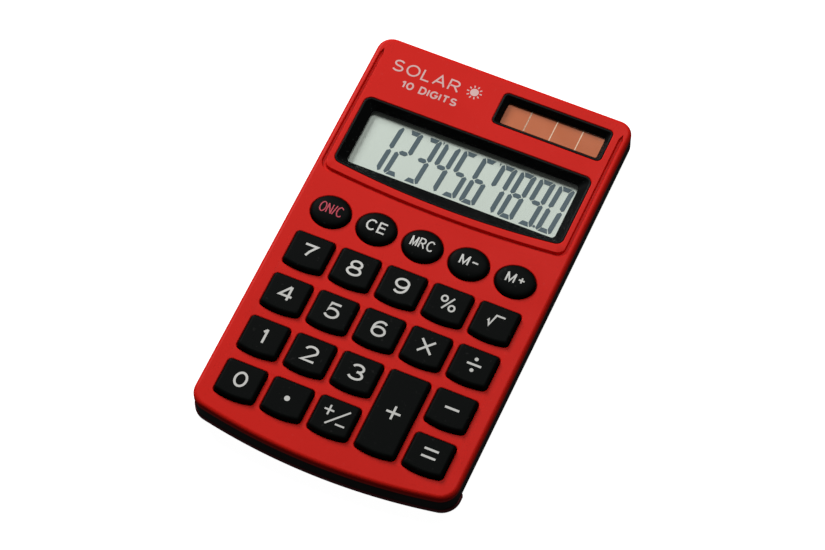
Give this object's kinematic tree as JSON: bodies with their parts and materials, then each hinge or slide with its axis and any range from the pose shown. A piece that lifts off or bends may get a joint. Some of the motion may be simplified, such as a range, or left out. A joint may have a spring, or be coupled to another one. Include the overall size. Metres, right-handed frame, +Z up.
{
  "type": "pocket calculator",
  "caption": "Flat pocket calculator with a curved lower edge, a recessed display, a solar strip and sprung keys on a red front over a black rear case.",
  "frame": {"origin": "on the table under the middle of the case, with the calculator lying on its back", "axes": "+X to the right, +Y towards the display end, +Z up out of the keypad face"},
  "size_m": [0.0704, 0.118, 0.0095],
  "materials": {
    "front_red": "moulded, fine satin",
    "case_black": "moulded, fine grain",
    "foot_red": "moulded, satin",
    "rubber": "matt",
    "screw_steel": "zinc plated",
    "frame_black": "moulded, satin",
    "clear_window": "clear acrylic",
    "display_glass": "clear",
    "display_segments": "dark liquid crystal",
    "display_background": "matt silver film",
    "foam": "foam",
    "zebra_rubber": "striped elastomer",
    "solar_strip": "coated glass",
    "lead_red": "insulated wire",
    "lead_black": "insulated wire",
    "board_green": "solder resist",
    "chip_resin": "cured resin",
    "chip_ceramic": "ceramic",
    "carbon": "printed carbon",
    "mat_rubber": "silicone",
    "cell_steel": "nickel plated",
    "spring_brass": "stamped strip",
    "label_silver": "foil label",
    "key_black": "moulded, satin"
  },
  "bodies": {
    "housing": {"front_cover": "front_red", "rear_cover": "case_black", "foot_bar": "foot_red", "rubber_feet": "rubber", "case_screws": "screw_steel", "display_bezel": "frame_black", "display_lens": "clear_window", "lcd_front_glass": "display_glass", "lcd_segments": "display_segments", "lcd_rear_glass": "display_glass", "lcd_reflector": "display_background", "lcd_pad": "foam", "zebra_strip": "zebra_rubber", "solar_bezel": "frame_black", "solar_lens": "clear_window", "solar_cell": "solar_strip", "solar_leads": "lead_red", "circuit_board": "board_green", "chip_blob": "chip_resin", "board_parts": "chip_ceramic", "contact_pads": "carbon", "rubber_mat": "mat_rubber", "battery_cell": "cell_steel", "battery_top_contact": "spring_brass", "battery_side_contact": "spring_brass", "battery_leads": "lead_black", "battery_door": "case_black", "door_screw": "screw_steel", "rear_label": "label_silver"},
    "key_on_clear_cap": {"key_on_clear": "key_black"},
    "key_ce_cap": {"key_ce": "key_black"},
    "key_mrc_cap": {"key_mrc": "key_black"},
    "key_m_minus_cap": {"key_m_minus": "key_black"},
    "key_m_plus_cap": {"key_m_plus": "key_black"},
    "key_7_cap": {"key_7": "key_black"},
    "key_8_cap": {"key_8": "key_black"},
    "key_9_cap": {"key_9": "key_black"},
    "key_percent_cap": {"key_percent": "key_black"},
    "key_root_cap": {"key_root": "key_black"},
    "key_4_cap": {"key_4": "key_black"},
    "key_5_cap": {"key_5": "key_black"},
    "key_6_cap": {"key_6": "key_black"},
    "key_multiply_cap": {"key_multiply": "key_black"},
    "key_divide_cap": {"key_divide": "key_black"},
    "key_1_cap": {"key_1": "key_black"},
    "key_2_cap": {"key_2": "key_black"},
    "key_3_cap": {"key_3": "key_black"},
    "key_plus_cap": {"key_plus": "key_black"},
    "key_minus_cap": {"key_minus": "key_black"},
    "key_0_cap": {"key_0": "key_black"},
    "key_point_cap": {"key_point": "key_black"},
    "key_sign_cap": {"key_sign": "key_black"},
    "key_equals_cap": {"key_equals": "key_black"}
  },
  "joints": [
    {"name": "key_on_clear_press", "type": "slide", "parent": "housing", "child": "key_on_clear_cap", "axis": [0, 0, -1], "range_m": [0, 0.0009], "stiffness_N_per_m": 800},
    {"name": "key_ce_press", "type": "slide", "parent": "housing", "child": "key_ce_cap", "axis": [0, 0, -1], "range_m": [0, 0.0009], "stiffness_N_per_m": 800},
    {"name": "key_mrc_press", "type": "slide", "parent": "housing", "child": "key_mrc_cap", "axis": [0, 0, -1], "range_m": [0, 0.0009], "stiffness_N_per_m": 800},
    {"name": "key_m_minus_press", "type": "slide", "parent": "housing", "child": "key_m_minus_cap", "axis": [0, 0, -1], "range_m": [0, 0.0009], "stiffness_N_per_m": 800},
    {"name": "key_m_plus_press", "type": "slide", "parent": "housing", "child": "key_m_plus_cap", "axis": [0, 0, -1], "range_m": [0, 0.0009], "stiffness_N_per_m": 800},
    {"name": "key_7_press", "type": "slide", "parent": "housing", "child": "key_7_cap", "axis": [0, 0, -1], "range_m": [0, 0.0009], "stiffness_N_per_m": 800},
    {"name": "key_8_press", "type": "slide", "parent": "housing", "child": "key_8_cap", "axis": [0, 0, -1], "range_m": [0, 0.0009], "stiffness_N_per_m": 800},
    {"name": "key_9_press", "type": "slide", "parent": "housing", "child": "key_9_cap", "axis": [0, 0, -1], "range_m": [0, 0.0009], "stiffness_N_per_m": 800},
    {"name": "key_percent_press", "type": "slide", "parent": "housing", "child": "key_percent_cap", "axis": [0, 0, -1], "range_m": [0, 0.0009], "stiffness_N_per_m": 800},
    {"name": "key_root_press", "type": "slide", "parent": "housing", "child": "key_root_cap", "axis": [0, 0, -1], "range_m": [0, 0.0009], "stiffness_N_per_m": 800},
    {"name": "key_4_press", "type": "slide", "parent": "housing", "child": "key_4_cap", "axis": [0, 0, -1], "range_m": [0, 0.0009], "stiffness_N_per_m": 800},
    {"name": "key_5_press", "type": "slide", "parent": "housing", "child": "key_5_cap", "axis": [0, 0, -1], "range_m": [0, 0.0009], "stiffness_N_per_m": 800},
    {"name": "key_6_press", "type": "slide", "parent": "housing", "child": "key_6_cap", "axis": [0, 0, -1], "range_m": [0, 0.0009], "stiffness_N_per_m": 800},
    {"name": "key_multiply_press", "type": "slide", "parent": "housing", "child": "key_multiply_cap", "axis": [0, 0, -1], "range_m": [0, 0.0009], "stiffness_N_per_m": 800},
    {"name": "key_divide_press", "type": "slide", "parent": "housing", "child": "key_divide_cap", "axis": [0, 0, -1], "range_m": [0, 0.0009], "stiffness_N_per_m": 800},
    {"name": "key_1_press", "type": "slide", "parent": "housing", "child": "key_1_cap", "axis": [0, 0, -1], "range_m": [0, 0.0009], "stiffness_N_per_m": 800},
    {"name": "key_2_press", "type": "slide", "parent": "housing", "child": "key_2_cap", "axis": [0, 0, -1], "range_m": [0, 0.0009], "stiffness_N_per_m": 800},
    {"name": "key_3_press", "type": "slide", "parent": "housing", "child": "key_3_cap", "axis": [0, 0, -1], "range_m": [0, 0.0009], "stiffness_N_per_m": 800},
    {"name": "key_plus_press", "type": "slide", "parent": "housing", "child": "key_plus_cap", "axis": [0, 0, -1], "range_m": [0, 0.0009], "stiffness_N_per_m": 800},
    {"name": "key_minus_press", "type": "slide", "parent": "housing", "child": "key_minus_cap", "axis": [0, 0, -1], "range_m": [0, 0.0009], "stiffness_N_per_m": 800},
    {"name": "key_0_press", "type": "slide", "parent": "housing", "child": "key_0_cap", "axis": [0, 0, -1], "range_m": [0, 0.0009], "stiffness_N_per_m": 800},
    {"name": "key_point_press", "type": "slide", "parent": "housing", "child": "key_point_cap", "axis": [0, 0, -1], "range_m": [0, 0.0009], "stiffness_N_per_m": 800},
    {"name": "key_sign_press", "type": "slide", "parent": "housing", "child": "key_sign_cap", "axis": [0, 0, -1], "range_m": [0, 0.0009], "stiffness_N_per_m": 800},
    {"name": "key_equals_press", "type": "slide", "parent": "housing", "child": "key_equals_cap", "axis": [0, 0, -1], "range_m": [0, 0.0009], "stiffness_N_per_m": 800}
  ]
}
